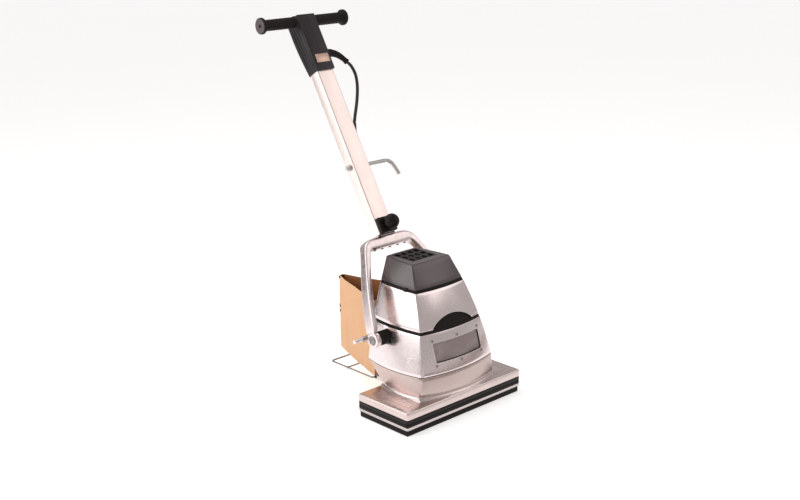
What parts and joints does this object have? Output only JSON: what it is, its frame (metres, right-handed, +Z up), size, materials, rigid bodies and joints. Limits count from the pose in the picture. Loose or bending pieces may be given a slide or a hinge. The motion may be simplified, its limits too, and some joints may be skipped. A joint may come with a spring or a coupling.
{
  "type": "carpet cleaner machine",
  "caption": "Upright carpet cleaning machine: wide low base with counter-rotating brushes, tapered metal body, leaning yoke and tube handle, paper bag on a wire rack.",
  "frame": {"origin": "middle of the floor area that the whole machine covers, on the floor", "axes": "+Z up, -Y to the machine's front, +Y towards the operator, +X to the right seen from the front"},
  "size_m": [0.45, 0.7044, 1.0604],
  "materials": {
    "stainless": "bright brushed sheet",
    "cast_alloy": "polished casting",
    "aluminium": "polished",
    "steel": "bright plated",
    "grey_plastic": "fine grain",
    "black_plastic": "satin",
    "rubber": "moulded rubber",
    "smoked": "smoked window",
    "kraft": "kraft paper",
    "bristle": "nylon bristle",
    "copper": "wound armature",
    "bronze": "armature and worm"
  },
  "bodies": {
    "base": {"lower_casing": "stainless", "upper_casing": "stainless", "base_cover": "cast_alloy", "skirt_casing": "cast_alloy", "gearbox_housing": "cast_alloy", "fan_housing": "cast_alloy", "trim_strip": "aluminium", "rack_bracket": "steel", "pivot_screw_left": "steel", "pivot_screw_right": "steel", "end_plate_left": "steel", "end_plate_right": "steel", "brush_motor_shell": "steel", "vacuum_motor_shell": "steel", "window_screw_1": "steel", "window_screw_2": "steel", "window_screw_3": "steel", "window_screw_4": "steel", "window_screw_5": "steel", "window_screw_6": "steel", "motor_cap": "grey_plastic", "bumper_band": "black_plastic", "vent_grille": "black_plastic", "finger_notch_liner": "black_plastic", "bag_outlet": "black_plastic", "plunger_guide": "black_plastic", "floor_skirt": "rubber", "seam_gasket": "rubber", "cap_gasket": "rubber", "pivot_boss_left": "rubber", "pivot_boss_right": "rubber", "window_panel": "smoked"},
    "brush_front": {"brush_shaft_front": "steel", "brush_front_left": "bristle", "brush_front_right": "bristle"},
    "brush_rear": {"brush_shaft_rear": "steel", "brush_rear_left": "bristle", "brush_rear_right": "bristle"},
    "brush_motor": {"brush_motor_rotor": "bronze"},
    "fan": {"vacuum_rotor": "copper", "suction_fan": "aluminium"},
    "plunger": {"lock_plunger": "steel"},
    "rack": {"bag_rack": "steel"},
    "bag": {"paper_bag": "kraft"},
    "yoke": {"yoke": "cast_alloy"},
    "handle": {"handle_tube": "aluminium", "clamp_block": "black_plastic", "switch_housing": "grey_plastic", "handle_bar": "steel", "grip_left": "rubber", "grip_right": "rubber", "rating_plate": "aluminium", "cord_boot": "rubber", "handle_cord": "rubber", "cord_gland": "rubber"},
    "knob": {"clamp_knob": "black_plastic"},
    "hook": {"cord_hook": "steel"},
    "switch": {"switch_rocker": "black_plastic"}
  },
  "joints": [
    {"name": "handle_tilt", "type": "hinge", "parent": "base", "child": "yoke", "pos_m": [0, -0.17615, 0.219], "axis": [-1, 0, 0], "range_deg": [-30.5, 18]},
    {"name": "handle_height", "type": "slide", "parent": "yoke", "child": "handle", "axis": [0, 0.5075, 0.8616], "range_m": [0, 0.1]},
    {"name": "clamp_knob_turn", "type": "hinge", "parent": "handle", "child": "knob", "pos_m": [0, -0.02257, 0.47973], "axis": [0, -0.8616, 0.5075], "range_deg": [0, 330]},
    {"name": "cord_hook_swivel", "type": "hinge", "parent": "handle", "child": "hook", "pos_m": [0, 0.08507, 0.63685], "axis": [1, 0, 0], "range_deg": [0, 180]},
    {"name": "switch_rock", "type": "hinge", "parent": "handle", "child": "switch", "pos_m": [0, 0.33958, 1.03937], "axis": [0, -0.8616, 0.5075], "range_deg": [0, 9]},
    {"name": "lock_plunger_pull", "type": "slide", "parent": "base", "child": "plunger", "axis": [-1, 0, 0], "range_m": [0, 0.008], "stiffness_N_per_m": 300, "springref_m": -0.004},
    {"name": "bag_rack_drop", "type": "hinge", "parent": "base", "child": "rack", "pos_m": [0, -0.08815, 0.062], "axis": [-1, 0, 0], "range_deg": [0, 15], "stiffness_Nm_per_rad": 0.8, "springref_deg": -28.65},
    {"name": "bag_pull_off", "type": "slide", "parent": "base", "child": "bag", "axis": [0, 1, 0], "range_m": [0, 0.3]},
    {"name": "brush_motor_spin", "type": "hinge", "parent": "base", "child": "brush_motor", "pos_m": [0, -0.25315, 0.13], "axis": [0, 0, 1], "continuous": true},
    {"name": "brush_front_spin", "type": "hinge", "parent": "base", "child": "brush_front", "pos_m": [0, -0.29715, 0.0315], "axis": [1, 0, 0], "continuous": true},
    {"name": "brush_rear_spin", "type": "hinge", "parent": "base", "child": "brush_rear", "pos_m": [0, -0.20915, 0.0315], "axis": [1, 0, 0], "continuous": true},
    {"name": "fan_spin", "type": "hinge", "parent": "base", "child": "fan", "pos_m": [0, -0.16115, 0.28], "axis": [0, 0, 1], "continuous": true}
  ],
  "couplings": [
    {"joint": "brush_front_spin", "follows": "brush_motor_spin", "ratio": 0.083333},
    {"joint": "brush_rear_spin", "follows": "brush_motor_spin", "ratio": -0.083333}
  ]
}
